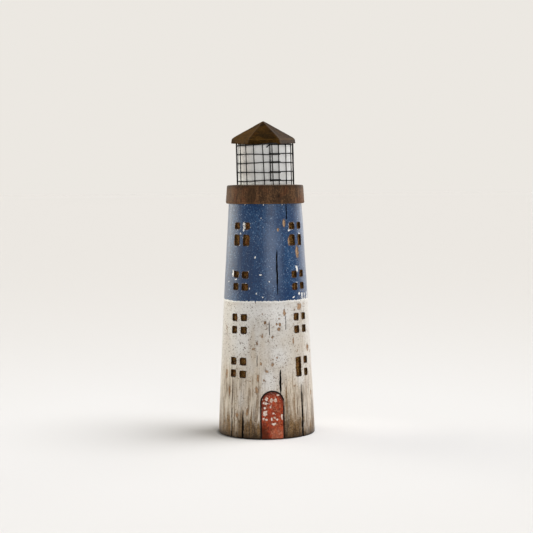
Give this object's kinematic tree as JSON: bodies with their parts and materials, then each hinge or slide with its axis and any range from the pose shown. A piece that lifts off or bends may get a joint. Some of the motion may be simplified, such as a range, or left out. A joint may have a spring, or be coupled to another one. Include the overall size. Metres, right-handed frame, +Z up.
{
  "type": "wooden lighthouse figurine",
  "caption": "Turned wooden lighthouse ornament: tapered painted tower with carved windows and door, stained gallery disc, white lantern core in a wire mesh cage, and a pitched roof.",
  "frame": {"origin": "centre of the tower's round foot, on the surface that it stands on", "axes": "+Z up the tower's axis, -Y out of the painted door, +X to the right of someone facing the door"},
  "size_m": [0.102, 0.1018, 0.328],
  "materials": {
    "painted_tower": "distressed matt paint on wood, blue above and off-white below, with a red door",
    "stained_wood": "dark brown stain, satin",
    "painted_core": "matt white paint",
    "black_wire": "black, satin",
    "dowel_wood": "raw beech"
  },
  "bodies": {
    "root": {"cage_hoop_1": "black_wire", "cage_hoop_2": "black_wire", "cage_hoop_3": "black_wire", "cage_hoop_4": "black_wire", "cage_hoop_5": "black_wire", "cage_upright_01": "black_wire", "cage_upright_02": "black_wire", "cage_upright_03": "black_wire", "cage_upright_04": "black_wire", "cage_upright_05": "black_wire", "cage_upright_06": "black_wire", "cage_upright_07": "black_wire", "cage_upright_08": "black_wire", "cage_upright_09": "black_wire", "cage_upright_10": "black_wire", "cage_upright_11": "black_wire", "cage_upright_12": "black_wire", "cage_upright_13": "black_wire", "cage_upright_14": "black_wire", "cage_upright_15": "black_wire", "cage_upright_16": "black_wire", "cage_upright_17": "black_wire", "cage_upright_18": "black_wire", "cage_upright_19": "black_wire", "cage_upright_20": "black_wire", "cage_upright_21": "black_wire", "gallery_disc": "stained_wood", "lantern_core": "painted_core", "lower_dowel": "dowel_wood", "roof_cap": "stained_wood", "tower_body": "painted_tower", "upper_dowel": "dowel_wood"}
  },
  "joints": []
}
